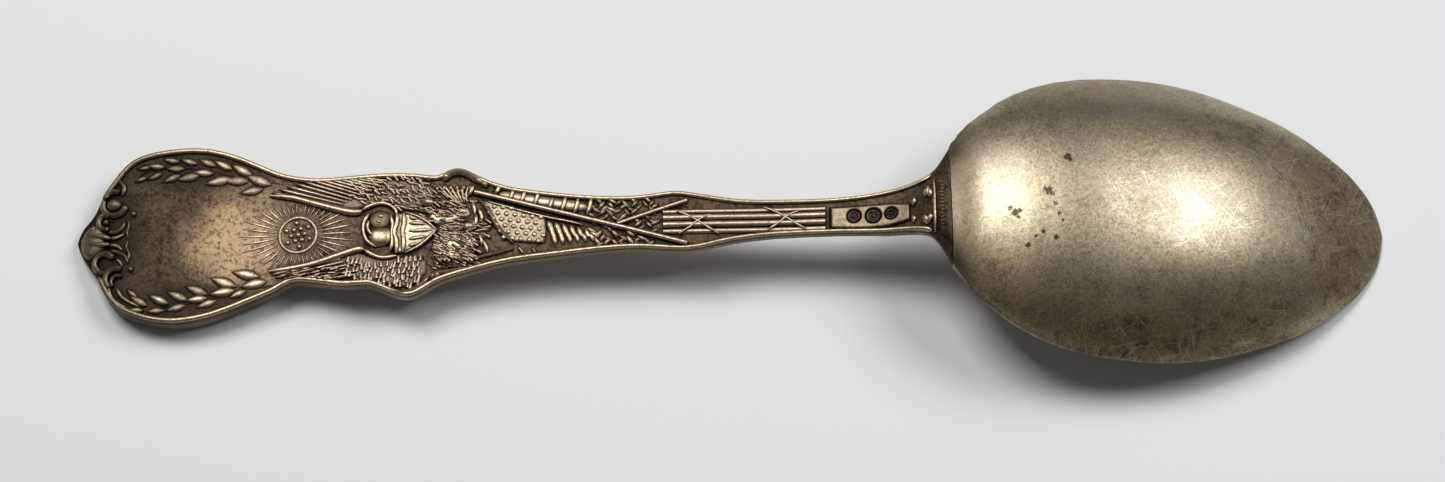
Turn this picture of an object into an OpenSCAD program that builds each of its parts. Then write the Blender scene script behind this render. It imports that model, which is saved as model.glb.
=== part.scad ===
// Souvenir teaspoon, die-struck silver, lying face down with its convex side up.
// Origin: on the table under the middle of the spoon. +X runs to the bowl's tip, +Z is up.
// The back of the handle carries the relief. It lies along a curved ground line in the XZ plane,
// so each motif is a flat outline lifted between two heights above that line.

/* [Spoon] */
// Overall length, handle tip to bowl tip
spoon_l = 150; // [140:1:160]
// Place along X where the handle meets the bowl
neck_x = 24.6; // [24:0.1:25.5]
// Sideways place of the relief's centre line
axis_y = -0.3; // [-0.5:0.1:0.5]

/* [Bowl] */
// Largest width across the rim
bowl_w = 34.2; // [33:0.1:35]
// Height of the dome over the rim
bowl_depth = 7.6; // [7.2:0.1:8]
// Wall thickness
bowl_t = 0.9; // [0.7:0.1:1.2]
// Width of the flat rim
rim_land = 1.0; // [0.8:0.1:1.4]
// Height of the rim over the table at the neck
rim_z = 10.8; // [10:0.1:11.5]

/* [Relief] */
// Height of the edge moulding over the ground
border_h = 0.55; // [0.3:0.05:0.8]
// Width of the edge moulding
border_w = 0.6; // [0.4:0.05:0.9]
// Height of leaves, feathers and flags over the ground
motif_h = 0.45; // [0.3:0.05:0.7]
// Height of fine lines over the ground
line_h = 0.3; // [0.15:0.05:0.4]
// Depth of the plain panel pressed into the front
front_recess = 0.3; // [0.1:0.05:0.4]

/* [Hidden] */

bowl_l = spoon_l / 2 - neck_x;
silver = [0.58, 0.52, 0.41];
bright = [0.78, 0.72, 0.6];
dark = [0.3, 0.26, 0.2];

// Points along a smooth curve through knots, with a number of steps from each knot to the next
function spline(p, steps) = let (n = len(p) - 1) [
    for (i = [0:n - 1]) let (
        a = p[max(i - 1, 0)],
        b = p[i],
        c = p[i + 1],
        d = p[min(i + 2, n)]
    ) for (k = [0:steps - 1]) let (t = k / steps)
        (2 * b + (c - a) * t + (2 * a - 5 * b + 4 * c - d) * t * t
            + (3 * b - a - 3 * c + d) * t * t * t) / 2,
    p[n]
];
function reversed(p) = [for (i = [len(p) - 1:-1:0]) p[i]];
function lifted(p, h) = [for (q = p) [q[0], q[1] + h]];

// Ground of the back, as [x, z], from the handle's tip to the neck
back_line = spline([[-75, 0.9], [-73.5, 1.8], [-71.5, 2.45], [-68, 3.0], [-64, 3.2], [-60, 3.3],
    [-56, 3.4], [-52, 3.65], [-48, 4.1], [-43, 4.7], [-37, 5.1], [-28, 5.7], [-20, 6.2], [-12, 6.8],
    [-5, 7.2], [3, 7.35], [9, 7.65], [14, 8.2], [17, 8.8], [20, 9.9], [22.5, 11.4],
    [neck_x, 12.4]], 3);
// Face of the front, as [x, z]; its end lies flat on the table
front_line = spline([[-75, 0], [-73.5, 0], [-71.5, 0], [-68, 0.5], [-64, 0.7], [-60, 0.8],
    [-56, 1.0], [-52, 1.4], [-48, 2.0], [-43, 2.7], [-37, 3.2], [-28, 3.9], [-20, 4.45], [-12, 5.15],
    [-5, 5.6], [3, 5.85], [9, 6.25], [14, 6.8], [17, 7.4], [20, 8.4], [22.5, 9.7],
    [neck_x, rim_z]], 3);

// Plan outline of the handle, upper and lower side, as [x, y]
upper_edge = spline([[-75, 0], [-74.7, 1.05], [-74.1, 1.85], [-73.4, 2.5], [-72.75, 3.5],
    [-72.3, 4.75], [-71.7, 5.85], [-70.9, 6.95], [-69.5, 8.8], [-67.5, 9.95], [-64, 10.6],
    [-60, 10.6], [-56, 9.4], [-52, 7.5], [-49, 6.7], [-46, 6.45], [-40, 6.75], [-36, 6.6],
    [-33.6, 6.25], [-32, 6.95], [-30.5, 7], [-28, 5.7], [-25, 4.6], [-20, 3.75], [-15, 3.15],
    [-11, 3.05], [-8, 3.35], [-6, 3.5], [-3, 3], [1, 2.35], [6, 2.2], [12, 2.2], [17, 2.55],
    [20, 3], [22.4, 3.95], [23.6, 5.3], [neck_x, 7.05]], 2);
lower_edge = spline([[-75, 0], [-74.7, -0.95], [-74.1, -2.05], [-73.4, -3.1], [-72.5, -4.25],
    [-71.7, -5.9], [-70.9, -7.25], [-69.5, -8.75], [-66.5, -10.05], [-63, -10.5], [-59, -9.8],
    [-55, -8.25], [-52, -7], [-50, -5.9], [-48, -5.95], [-44, -6.65], [-41, -6.6], [-38.5, -7.7],
    [-36.6, -8.2], [-35, -7.6], [-33, -6.4], [-29, -5.25], [-25, -4.35], [-20, -3.8], [-15, -3.35],
    [-11, -3.2], [-8, -3.4], [-5.5, -3.6], [-3, -3.3], [0, -2.6], [5, -2.05], [12, -2], [17, -2.3],
    [20, -2.5], [22.4, -3.15], [23.6, -4.9], [neck_x, -7.05]], 2);
handle_outline = concat(upper_edge, reversed(lower_edge));

// Solid between two heights over the ground, as wide as the handle
module ground_band(h0, h1) {
    rotate([90, 0, 0])
        linear_extrude(30, center = true)
            polygon(concat(lifted(back_line, h1), reversed(lifted(back_line, h0))));
}

// The children's flat outline as relief between two heights over the ground
module relief(h0, h1) {
    intersection() {
        translate([0, axis_y, -1])
            linear_extrude(16)
                children();
        ground_band(h0, h1);
    }
}

// A straight bar from p to q with round ends
module bar(p, q, w) {
    d = q - p;
    translate(p)
        rotate(atan2(d[1], d[0]))
            union() {
                translate([0, -w / 2])
                    square([norm(d), w]);
                circle(d = w, $fn = 24);
                translate([norm(d), 0])
                    circle(d = w, $fn = 24);
            }
}

// A pointed leaf from p towards an angle
module leaf(p, angle, l, w) {
    side = spline([[0, 0], [0.3 * l, 0.5 * w], [0.65 * l, 0.38 * w], [l, 0]], 3);
    translate(p)
        rotate(angle)
            polygon(concat(side, reversed([for (s = side) [s[0], -s[1]]])));
}

// A curved stroke along knots, tapering from width w0 to w1
module stroke(knots, w0, w1) {
    c = spline(knots, 4);
    n = len(c) - 1;
    normals = [for (i = [0:n]) let (d = c[min(i + 1, n)] - c[max(i - 1, 0)]) [-d[1], d[0]] / norm(d)];
    widths = [for (i = [0:n]) (w0 + (w1 - w0) * i / n) / 2];
    polygon(concat([for (i = [0:n]) c[i] + normals[i] * widths[i]],
        [for (i = [n:-1:0]) c[i] - normals[i] * widths[i]]));
}

// Height of the bowl's outside over the rim along the middle, and its half width, from the neck
bowl_keel = [[0, 1.6], [4, 3.6], [9, 5.6], [15, 7.1], [21, bowl_depth], [27, bowl_depth],
    [34, 6.8], [40, 5.2], [45, 3.3], [48.5, 1.6], [49.8, 0.9]];
bowl_half = [[0, 7.05], [0.65, 7.85], [2, 9.75], [3.4, 11.15], [6.2, 13.3], [9, 14.85], [12, 15.95],
    [15, 16.65], [21, bowl_w / 2], [26, 16.85], [31, 15.85], [36, 14.2], [39, 12.9], [42, 11.2],
    [44.7, 9.2], [47.2, 6.95], [48.8, 4.8], [49.8, 2.75]];
function between(p, x) = let (
    i = max([for (k = [0:len(p) - 2]) p[k][0] <= x ? k : 0]),
    a = p[max(i - 1, 0)][1],
    b = p[i][1],
    c = p[i + 1][1],
    d = p[min(i + 2, len(p) - 1)][1],
    t = min((x - p[i][0]) / (p[i + 1][0] - p[i][0]), 1)
) (2 * b + (c - a) * t + (2 * a - 5 * b + 4 * c - d) * t * t
    + (3 * b - a - 3 * c + d) * t * t * t) / 2;
// Rounded cross-section: 1 in the middle, 0 at the rim
function dome(a) = pow(1 - pow(abs(a), 2.3), 0.72);

rings = 26;
spokes = 18;
last_u = 49.7;
// Stations crowd together towards both ends of the bowl
function station(i, from, to) = from + (to - from) * (1 - cos(180 * i / rings)) / 2;
function across(j) = sin(90 * (2 * j / spokes - 1));
function bowl_point(u, v, h) = [neck_x + u, v, rim_z * (1 - u / bowl_l) + h];
outer_grid = [for (i = [0:rings]) let (u = station(i, 0, last_u)) for (j = [0:spokes])
    let (a = across(j)) bowl_point(u, between(bowl_half, u) * a, between(bowl_keel, u) * dome(a))];
// The hollow's outline runs inside the rim and closes round at the neck
hollow_from = 1.8;
hollow_to = 49;
function round_start(u, l) = let (s = min((u - hollow_from) / l, 1)) sqrt(1 - (1 - s) * (1 - s));
function hollow_half(u) = max(between(bowl_half, u) - rim_land - 0.6 * pow(u / bowl_l, 8), 0.4)
    * round_start(u, 4);
function hollow_keel(u) = (between(bowl_keel, u) - bowl_t) * round_start(u, 6);
inner_grid = [for (i = [1:rings]) let (u = station(i, hollow_from, hollow_to)) for (j = [0:spokes])
    let (a = across(j)) bowl_point(u, hollow_half(u) * a, hollow_keel(u) * dome(a))];
row = spokes + 1;
tip = len(outer_grid);
hollow_start = tip + 1;
hollow_end = tip + 2;
inner0 = tip + 3;
function outer(i, j) = i * row + j;
function inner(i, j) = inner0 + (i - 1) * row + j;
bowl_faces = concat(
    // outside
    [for (i = [0:rings - 1]) for (j = [0:spokes - 1]) [outer(i, j), outer(i, j + 1), outer(i + 1, j)]],
    [for (i = [0:rings - 1]) for (j = [0:spokes - 1])
        [outer(i + 1, j), outer(i, j + 1), outer(i + 1, j + 1)]],
    [for (j = [0:spokes - 1]) [outer(rings, j), outer(rings, j + 1), tip]],
    // inside
    [for (j = [0:spokes - 1]) [hollow_start, inner(1, j), inner(1, j + 1)]],
    [for (i = [1:rings - 1]) for (j = [0:spokes - 1]) [inner(i, j), inner(i + 1, j), inner(i, j + 1)]],
    [for (i = [1:rings - 1]) for (j = [0:spokes - 1])
        [inner(i + 1, j), inner(i + 1, j + 1), inner(i, j + 1)]],
    [for (j = [0:spokes - 1]) [inner(rings, j), hollow_end, inner(rings, j + 1)]],
    // flat rim, one side and then the other
    [for (i = [1:rings - 1]) [outer(i, 0), outer(i + 1, 0), inner(i + 1, 0)]],
    [for (i = [1:rings - 1]) [outer(i, 0), inner(i + 1, 0), inner(i, 0)]],
    [for (i = [1:rings - 1]) [outer(i, spokes), inner(i + 1, spokes), outer(i + 1, spokes)]],
    [for (i = [1:rings - 1]) [outer(i, spokes), inner(i, spokes), inner(i + 1, spokes)]],
    // flat rim at the neck and at the tip
    [[outer(0, 0), outer(1, 0), inner(1, 0)], [outer(0, 0), inner(1, 0), hollow_start],
        [outer(0, 0), hollow_start, outer(0, spokes)],
        [outer(0, spokes), hollow_start, inner(1, spokes)],
        [outer(0, spokes), inner(1, spokes), outer(1, spokes)],
        [outer(rings, 0), tip, inner(rings, 0)], [inner(rings, 0), tip, hollow_end],
        [hollow_end, tip, inner(rings, spokes)], [tip, outer(rings, spokes), inner(rings, spokes)]],
    // end face that meets the handle
    [[for (j = [spokes:-1:0]) outer(0, j)]]
);

module bowl() {
    color(silver)
        polyhedron(concat(outer_grid, [bowl_point(bowl_l, 0, 0), bowl_point(hollow_from, 0, 0),
            bowl_point(bowl_l - rim_land, 0, 0)], inner_grid), bowl_faces);
}

// Blank of the handle, with a plain panel pressed into its front, away from its ends
module handle() {
    color(silver)
        difference() {
            intersection() {
                linear_extrude(16)
                    polygon(handle_outline);
                rotate([90, 0, 0])
                    linear_extrude(30, center = true)
                        polygon(concat(back_line, reversed(front_line)));
            }
            intersection() {
                linear_extrude(16)
                    polygon([for (q = handle_outline) if (q[0] > -67 && q[0] < 18) [q[0], q[1] * 0.82]]);
                rotate([90, 0, 0])
                    linear_extrude(30, center = true)
                        polygon(concat(lifted(front_line, front_recess),
                            reversed(lifted(front_line, -1))));
            }
        }
}

// Edge moulding along one side between two places in X
module border(edge, inwards, from, to) {
    side = [for (q = edge) if (q[0] > from && q[0] < to) q];
    n = len(side) - 1;
    inner_side = [for (i = [0:n]) let (d = side[min(i + 1, n)] - side[max(i - 1, 0)])
        side[i] + inwards * border_w * [-d[1], d[0]] / norm(d)];
    intersection() {
        linear_extrude(16)
            polygon(concat(side, reversed(inner_side)));
        ground_band(0, border_h);
    }
}
module border_upper() {
    color(bright)
        border(upper_edge, -1, -72, 22);
}
module border_lower() {
    color(bright)
        border(lower_edge, 1, -72, 22);
}

module crest_leaf() {
    color(silver)
        relief(0, 0.7)
            polygon(concat(spline([[-74.6, 0.2], [-73, 1], [-71, 1.2], [-69.2, 0.9]], 3),
                spline([[-69.2, -1.4], [-71, -0.9], [-73.2, -1.5], [-74.4, -0.9]], 3)));
}
// Part of a ring round c, from one angle to another
module ring_arc(c, r, w, from, to) {
    steps = ceil((to - from) / 15);
    angles = [for (i = [0:steps]) from + (to - from) * i / steps];
    translate(c)
        polygon(concat([for (a = angles) (r + w / 2) * [cos(a), sin(a)]],
            [for (a = reversed(angles)) (r - w / 2) * [cos(a), sin(a)]]));
}
module crest_scrolls_upper() {
    color(silver)
        relief(0, 0.8) {
            translate([-70.8, 4.3])
                circle(0.9, $fn = 32);
            ring_arc([-70.8, 4.4], 1.5, 0.5, 130, 350);
            ring_arc([-70.3, 6.5], 0.7, 0.4, 60, 290);
            ring_arc([-71.7, 2.1], 0.75, 0.6, 80, 330);
            ring_arc([-70, 0.7], 1.3, 0.5, -20, 60);
        }
}
module crest_scrolls_lower() {
    color(silver)
        relief(0, 0.8) {
            ring_arc([-71.9, -2.9], 1, 0.5, 40, 300);
            ring_arc([-69.7, -5.7], 1.9, 0.5, 95, 230);
            ring_arc([-69.6, -6], 1.1, 0.4, 100, 250);
            ring_arc([-70.2, -1.9], 1.4, 0.6, -50, 45);
        }
}
module pearls() {
    color(bright)
        relief(0, 0.6)
            for (y = [3.1, -3.7])
                translate([-68.4, y])
                    circle(0.33, $fn = 24);
}

// Leaves in pairs on either side of a stem
module spray(stem, pairs, l, w) {
    c = spline(stem, 6);
    stroke(stem, 0.25, 0.25);
    for (k = [1:pairs]) {
        i = floor(k * (len(c) - 2) / pairs);
        d = c[i + 1] - c[i];
        for (side = [-1, 1])
            leaf(c[i], atan2(d[1], d[0]) + 180 + side * 28, l, w);
    }
}
module laurel_upper() {
    color(silver)
        relief(0, motif_h)
            spray([[-52, 6], [-56, 7.2], [-60, 8], [-64, 8.4], [-67.6, 7.9]], 8, 2.4, 0.9);
}
module laurel_lower() {
    color(silver)
        relief(0, motif_h)
            spray([[-52, -5.2], [-56, -6.1], [-60, -7.3], [-64, -7.9], [-67.6, -7.6]], 8, 2.4, 0.9);
}

medallion = [-49.4, 0.05];
module glory_rays() {
    color(silver)
        relief(0, line_h)
            for (k = [0:39]) {
                a = k * 9;
                reach = (k > 14 && k < 26) ? 5.6 : (k < 5 || k > 35) ? 5.8 : 3.7;
                translate(medallion)
                    rotate(a)
                        translate([2.5, -0.1])
                            square([reach - 2.5, 0.2]);
            }
}
module medallion_ring() {
    color(bright)
        relief(0, motif_h)
            translate(medallion)
                difference() {
                    circle(2.25, $fn = 48);
                    circle(1.9, $fn = 48);
                }
}
// Beads: one in the middle, six round it and six further out
module medallion_beads() {
    color(bright)
        relief(0, motif_h)
            translate(medallion)
                for (k = [0:12])
                    rotate(k * 60 + (k > 6 ? 30 : 0))
                        translate([k == 0 ? 0 : k > 6 ? 1.3 : 0.7, 0])
                            circle(0.22, $fn = 20);
}

module wing_upper() {
    color(silver)
        relief(0, 0.5)
            polygon(concat(spline([[-52.8, 4.9], [-50.5, 6.1], [-46, 6.1], [-40, 6.3], [-36, 5.9],
                [-33.8, 4.6], [-33.4, 2.9]], 3), spline([[-35.6, 2.4], [-38, 3.2], [-40, 3.4],
                [-42.4, 2.5], [-45, 2.9], [-48, 4.2], [-52.8, 4.6]], 3)));
}
module wing_lower() {
    color(silver)
        relief(0, 0.5)
            polygon(concat(spline([[-52.6, -4.4], [-48, -3.8], [-44.5, -2.7], [-42, -2.1],
                [-40.4, -2.9], [-38.4, -3.2], [-36, -2.9], [-34, -3.4]], 3),
                spline([[-34, -5.2], [-35.6, -6.7], [-37, -7.2], [-39, -6.6], [-41.5, -5.8],
                [-45, -5.5], [-50, -5.5], [-52.6, -4.8]], 3)));
}
module eagle_head() {
    color(silver)
        relief(0, 0.9)
            polygon(spline([[-41.7, 1.5], [-40.9, 2.2], [-39.6, 2.1], [-38.4, 1.2], [-38.2, -0.6],
                [-38.6, -1.7], [-39.9, -2], [-41.2, -1.2], [-41.8, 0.2], [-41.7, 1.5]], 3));
}
module shield() {
    color(silver) {
        relief(0, 0.7)
            polygon(concat([[-38.2, 2.2], [-37, 2.2]], spline([[-37, 2.3], [-35.2, 1.6], [-33.5, 0]], 3),
                spline([[-33.5, 0], [-35.2, -1.8], [-37, -2.6]], 3), [[-38.2, -2.6]]));
    }
}
module eagle_body() {
    color(silver)
        relief(0, motif_h)
            polygon(concat(spline([[-33.2, 0.1], [-34.2, 1.6], [-33.6, 2.8], [-31.6, 3], [-29.6, 2.6]], 3),
                spline([[-29.2, 0.9], [-30.4, 0.3], [-29, -0.6], [-29, -3.4], [-30.6, -4],
                [-33, -3.4], [-34, -2], [-33.2, 0.1]], 3)));
}
module c_scroll_upper() {
    color(bright)
        relief(0, 0.8) {
            stroke([[-32.6, 6.1], [-31.6, 6.7], [-30.6, 6.6], [-29.4, 5.7], [-28.2, 5.1]], 0.5, 0.6);
            for (k = [0:4])
                stroke([[-32.8 + 0.75 * k, 5.7], [-32 + 0.7 * k, 4.4], [-30.6 + 0.35 * k, 3.2]], 0.35, 0.15);
        }
}
module c_scroll_lower() {
    color(bright)
        relief(0, 0.8) {
            stroke([[-40, -6.9], [-38.4, -7.4], [-37, -7.5], [-35.6, -6.9], [-34.4, -5.9]], 0.5, 0.5);
            stroke([[-33.6, -6], [-33.2, -5.3], [-31.8, -5], [-29.6, -4.7]], 0.6, 0.3);
        }
}

module flag_pole_long() {
    color(bright)
        relief(0, 0.75)
            bar([-29.1, 4.3], [-5, -2.6], 0.36);
}
module flag_pole_short() {
    color(bright)
        relief(0, 0.6)
            bar([-12.6, 0.1], [-5, 2.6], 0.34);
}
module flag_pole_stub() {
    color(bright)
        relief(0, 0.55)
            bar([-28.6, -3.5], [-24.8, -2.6], 0.3);
}
module star_flag() {
    color(silver)
        relief(0, motif_h)
            polygon(concat(spline([[-28.9, 3.8], [-27.6, 1.6], [-26, -0.4], [-24.7, -1.7]], 3),
                [[-21, -2], [-21, 0.9]], spline([[-24.5, 2], [-26.8, 3], [-28.9, 3.8]], 2)));
}
module flag_folds() {
    color(silver)
        relief(0, line_h)
            for (k = [0:4])
                stroke([[-20.7 + 0.9 * k, 0.8 - 0.25 * k], [-20.3 + 0.95 * k, -0.7],
                    [-19.6 + 0.95 * k, -2.2]], 0.5, 0.45);
}
module furled_flag() {
    color(silver)
        relief(0, motif_h)
            for (k = [0:8])
                stroke([[-26.5 + 1.4 * k, 4.7 - 0.27 * k], [-26.6 + 1.4 * k, 4.1 - 0.27 * k],
                    [-26.9 + 1.4 * k, 3.5 - 0.27 * k]], 0.6, 0.5);
}
module foliage_upper() {
    color(dark)
        relief(0, line_h)
            for (k = [0:4])
                leaf([-14.8 + 1.2 * k, 0.9 + 0.3 * (k % 2)], 50 + 35 * (k % 3), 1.3, 0.5);
}
module foliage_lower() {
    color(dark)
        relief(0, line_h)
            for (k = [0:5])
                leaf([-16.2 + 1.1 * k, -0.9 - 0.3 * (k % 2)], -60 + 30 * (k % 3), 1.3, 0.5);
}

module fasces_rods() {
    color(bright)
        for (y = [1.25, 0.5, -0.3, -1.1])
            relief(0, 0.5)
                translate([-7.8, y - 0.3])
                    square([18.2, 0.6]);
}
module fasces_straps() {
    color(bright)
        relief(0.5, 0.65)
            for (x = [-3.8, 6.2])
                for (side = [-1, 1])
                    stroke([[x - 2.3, 1.3 * side], [x, 0], [x + 2.4, -1.3 * side]], 0.25, 0.25);
}
// Bevelled panel with three plain round punch marks
module mark_panel() {
    color(bright)
        relief(0, motif_h)
            difference() {
                polygon(concat(spline([[11, 1.35], [15, 1.4], [19.4, 1.2], [20.2, 0.6]], 2),
                    spline([[20.2, -0.8], [19.2, -1.6], [15, -1.6], [11, -1.3]], 2)));
                for (x = [13.9, 16, 18])
                    translate([x, 0])
                        circle(x > 15 && x < 17 ? 0.95 : 0.8, $fn = 32);
            }
}
module neck_leaves() {
    color(silver)
        relief(0, motif_h)
            for (side = [-1, 1]) {
                leaf([21, 0.7 * side], 100 * side, 1.2, 0.7);
                leaf([22.6, 1.2 * side], 110 * side, 1.6, 0.9);
            }
}
module neck_bar() {
    color(bright)
        relief(0, 0.4)
            translate([23.2, -2.9])
                square([0.3, 6]);
}
module neck_band() {
    color(silver)
        relief(0, 0.15)
            for (k = [0:13])
                translate([23.7, -2.7 + 0.4 * k])
                    square([0.7, 0.18]);
}

bowl();
handle();
border_upper();
border_lower();
crest_leaf();
crest_scrolls_upper();
crest_scrolls_lower();
pearls();
laurel_upper();
laurel_lower();
glory_rays();
medallion_ring();
medallion_beads();
wing_upper();
wing_lower();
eagle_head();
shield();
eagle_body();
c_scroll_upper();
c_scroll_lower();
flag_pole_long();
flag_pole_short();
flag_pole_stub();
star_flag();
flag_folds();
furled_flag();
foliage_upper();
foliage_lower();
fasces_rods();
fasces_straps();
mark_panel();
neck_leaves();
neck_bar();
neck_band();
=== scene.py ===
"""Looks of the souvenir spoon: sculpted relief, smooth bowl and tarnished silver."""

import math
import random

import bpy
from mathutils import Matrix, Vector
from mathutils.bvhtree import BVHTree


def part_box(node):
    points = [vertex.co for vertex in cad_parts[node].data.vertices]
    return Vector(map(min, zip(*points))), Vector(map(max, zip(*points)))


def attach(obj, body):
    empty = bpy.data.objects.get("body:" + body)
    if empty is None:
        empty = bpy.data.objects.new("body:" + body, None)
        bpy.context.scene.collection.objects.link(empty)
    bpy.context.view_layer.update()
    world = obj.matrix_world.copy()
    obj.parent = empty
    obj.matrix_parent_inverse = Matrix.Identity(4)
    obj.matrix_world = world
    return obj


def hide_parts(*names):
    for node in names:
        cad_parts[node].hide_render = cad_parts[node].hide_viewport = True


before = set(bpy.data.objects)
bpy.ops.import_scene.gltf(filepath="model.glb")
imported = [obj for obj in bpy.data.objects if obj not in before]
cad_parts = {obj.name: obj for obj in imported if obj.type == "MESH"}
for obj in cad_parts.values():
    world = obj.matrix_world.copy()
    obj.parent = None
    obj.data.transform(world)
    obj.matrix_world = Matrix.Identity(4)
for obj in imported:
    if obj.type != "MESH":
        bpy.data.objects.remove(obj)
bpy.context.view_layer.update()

MM = 0.001
TINY = 0.1 * MM  # least width that a place across the handle is divided by
rng = random.Random(7)
AXIS_Y = -0.3  # sideways place of the relief's centre line, in mm


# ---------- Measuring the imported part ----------

def solid_of(node):
    """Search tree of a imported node's surface."""
    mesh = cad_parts[node].data
    corners = [v.co.copy() for v in mesh.vertices]
    return BVHTree.FromPolygons(corners, [tuple(p.vertices) for p in mesh.polygons])


def smoothed(values, passes):
    """The same row of values with its kinks averaged out, both ends kept."""
    for _ in range(passes):
        middle = [(a + 2 * b + c) / 4 for a, b, c in zip(values, values[1:], values[2:])]
        values = [values[0]] + middle + [values[-1]]
    return values


class Row:
    """Heights or widths read along X, looked up in between."""

    def __init__(self, start, step, values):
        self.start, self.step, self.values = start, step, values

    def __call__(self, x):
        place = min(max((x - self.start) / self.step, 0), len(self.values) - 1.001)
        i = int(place)
        return self.values[i] + (self.values[i + 1] - self.values[i]) * (place - i)


handle_solid = solid_of("handle")
HANDLE_FROM, HANDLE_TO = (corner[0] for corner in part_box("handle"))
STEP = 0.2 * MM      # distance between two readings
END_GAP = 0.02 * MM  # how far the first and last rays stay off the ends
OUTSIDE = 0.05       # where rays start, well clear of the handle


def read_row(origin, direction, axis, passes):
    """What a ray meets on the handle at each step along X, on one axis."""
    found = []
    count = int((HANDLE_TO - HANDLE_FROM) / STEP)
    for i in range(count + 1):
        x = min(HANDLE_FROM + END_GAP + i * STEP, HANDLE_TO - END_GAP)
        hit = handle_solid.ray_cast(Vector((x, *origin(x))), Vector(direction))[0]
        found.append(hit[axis] if hit else found[-1])
    return Row(HANDLE_FROM, STEP, smoothed(found, passes))


def mid_height(x):
    return (back(x) + front(x)) / 2


back = read_row(lambda x: (0, OUTSIDE), (0, 0, -1), 2, 14)
front = read_row(lambda x: (0, -OUTSIDE), (0, 0, 1), 2, 14)
side_up = read_row(lambda x: (OUTSIDE, mid_height(x)), (0, -1, 0), 1, 2)
side_down = read_row(lambda x: (-OUTSIDE, mid_height(x)), (0, 1, 0), 1, 2)


def across(x, y):
    """Place from -1 at the lower edge of the handle to 1 at the upper one."""
    low, high = side_down(x), side_up(x)
    return (2 * y - low - high) / max(high - low, TINY)


# ---------- Materials ----------

def link(output, target):
    output.id_data.links.new(output, target)


def node(tree, kind, **values):
    """A node with its properties set, and its input sockets by name or number."""
    made = tree.nodes.new("ShaderNode" + kind)
    for key, value in values.items():
        if hasattr(made, key):
            setattr(made, key, value)
        else:
            made.inputs[key.replace("_", " ")].default_value = value
    return made


def noise(place, scale, detail=4.0, roughness=0.6):
    made = node(place.id_data, "TexNoise", Scale=scale, Detail=detail, Roughness=roughness)
    link(place, made.inputs["Vector"])
    return made.outputs["Fac"]


def ramp(value, low, high, to_low=0.0, to_high=1.0):
    """Maps a range of values onto another, clamped at both ends."""
    made = node(value.id_data, "MapRange", interpolation_type="SMOOTHSTEP", From_Min=low,
        From_Max=high, To_Min=to_low, To_Max=to_high)
    link(value, made.inputs["Value"])
    return made.outputs["Result"]


def maths(operation, a, b):
    """Sum, difference and so on of two sockets or numbers, kept between 0 and 1."""
    tree = (b if isinstance(a, (int, float)) else a).id_data
    made = node(tree, "Math", operation=operation, use_clamp=True)
    for socket, value in zip(made.inputs, (a, b)):
        if isinstance(value, (int, float)):
            socket.default_value = value
        else:
            link(value, socket)
    return made.outputs[0]


def times(a, b):
    return maths("MULTIPLY", a, b)


def rest_of(mask):
    """What a mask leaves free."""
    return maths("SUBTRACT", 1.0, mask)


def object_place(tree):
    """Object coordinates, and their X on its own."""
    place = node(tree, "TexCoord").outputs["Object"]
    parts = node(tree, "SeparateXYZ")
    link(place, parts.inputs[0])
    return place, parts.outputs["X"]


def oval_distance(place, centre, size, turn=0.0):
    """Distance from a centre, 1 on an oval of that size; centre and size are in metres."""
    tree = place.id_data
    moved = node(tree, "Mapping", vector_type="TEXTURE", Location=centre, Scale=size,
        Rotation=(0, 0, turn))
    link(place, moved.inputs["Vector"])
    length = node(tree, "VectorMath", operation="LENGTH")
    link(moved.outputs[0], length.inputs[0])
    return length.outputs["Value"]


def blend(amount, a, b):
    """One colour over another; a and b are sockets or colours."""
    made = node(amount.id_data, "Mix", data_type="RGBA")
    link(amount, made.inputs["Factor"])
    for socket, value in ((made.inputs[6], a), (made.inputs[7], b)):
        if isinstance(value, tuple):
            socket.default_value = (*value, 1)
        else:
            link(value, socket)
    return made.outputs[2]


def new_group(name, inputs, outputs):
    """A shader node group with its sockets, and the ends to wire inside it."""
    tree = bpy.data.node_groups.new(name, "ShaderNodeTree")
    for title, kind, value in inputs:
        socket = tree.interface.new_socket(title, in_out="INPUT", socket_type="NodeSocket" + kind)
        socket.default_value = value
    for title, kind in outputs:
        tree.interface.new_socket(title, in_out="OUTPUT", socket_type="NodeSocket" + kind)
    return tree, tree.nodes.new("NodeGroupInput"), tree.nodes.new("NodeGroupOutput")


# Noise of the tarnish, in cells per metre
BLOTCHES, MOTTLING, SPECKLES = 420, 2400, 3600
RECESS_REACH = 0.7 * MM  # how far off a wall still darkens the ground


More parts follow.
